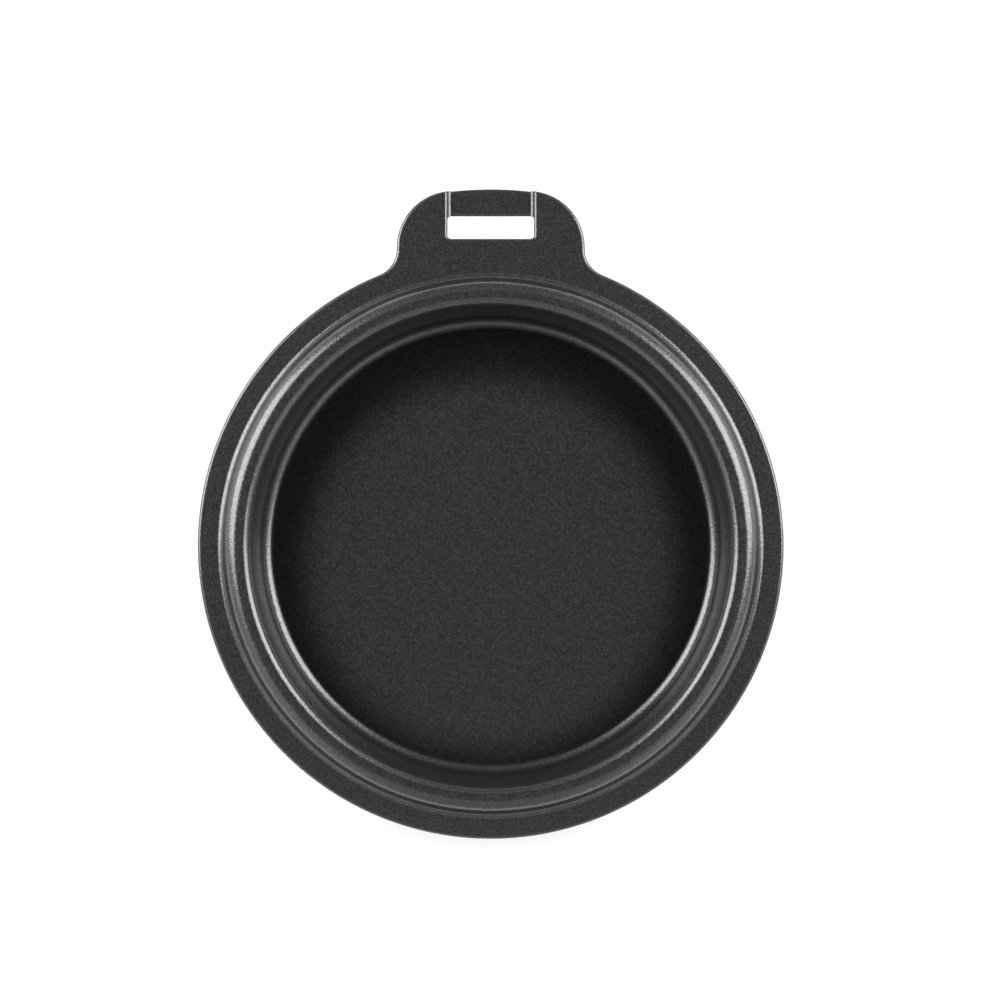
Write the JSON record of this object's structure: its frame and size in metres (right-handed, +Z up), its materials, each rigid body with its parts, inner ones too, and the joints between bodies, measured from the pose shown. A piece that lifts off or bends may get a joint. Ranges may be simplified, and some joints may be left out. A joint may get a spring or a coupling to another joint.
{
  "type": "multicooker pan",
  "caption": "Round deep non-stick pan of a countertop multicooker, with a raised lip, a seating flange and a handling tab with a latch slot.",
  "frame": {"origin": "on the pan's axis, at the underside of its flat base", "axes": "+Z up along the pan's axis, out of its mouth; +Y towards the handling tab; +X to the right"},
  "size_m": [0.2628, 0.2917, 0.0485],
  "materials": {
    "cast_aluminium": "satin",
    "nonstick_coat": "satin"
  },
  "bodies": {
    "root": {"pan_casting": "cast_aluminium", "nonstick_coating": "nonstick_coat"}
  },
  "joints": []
}
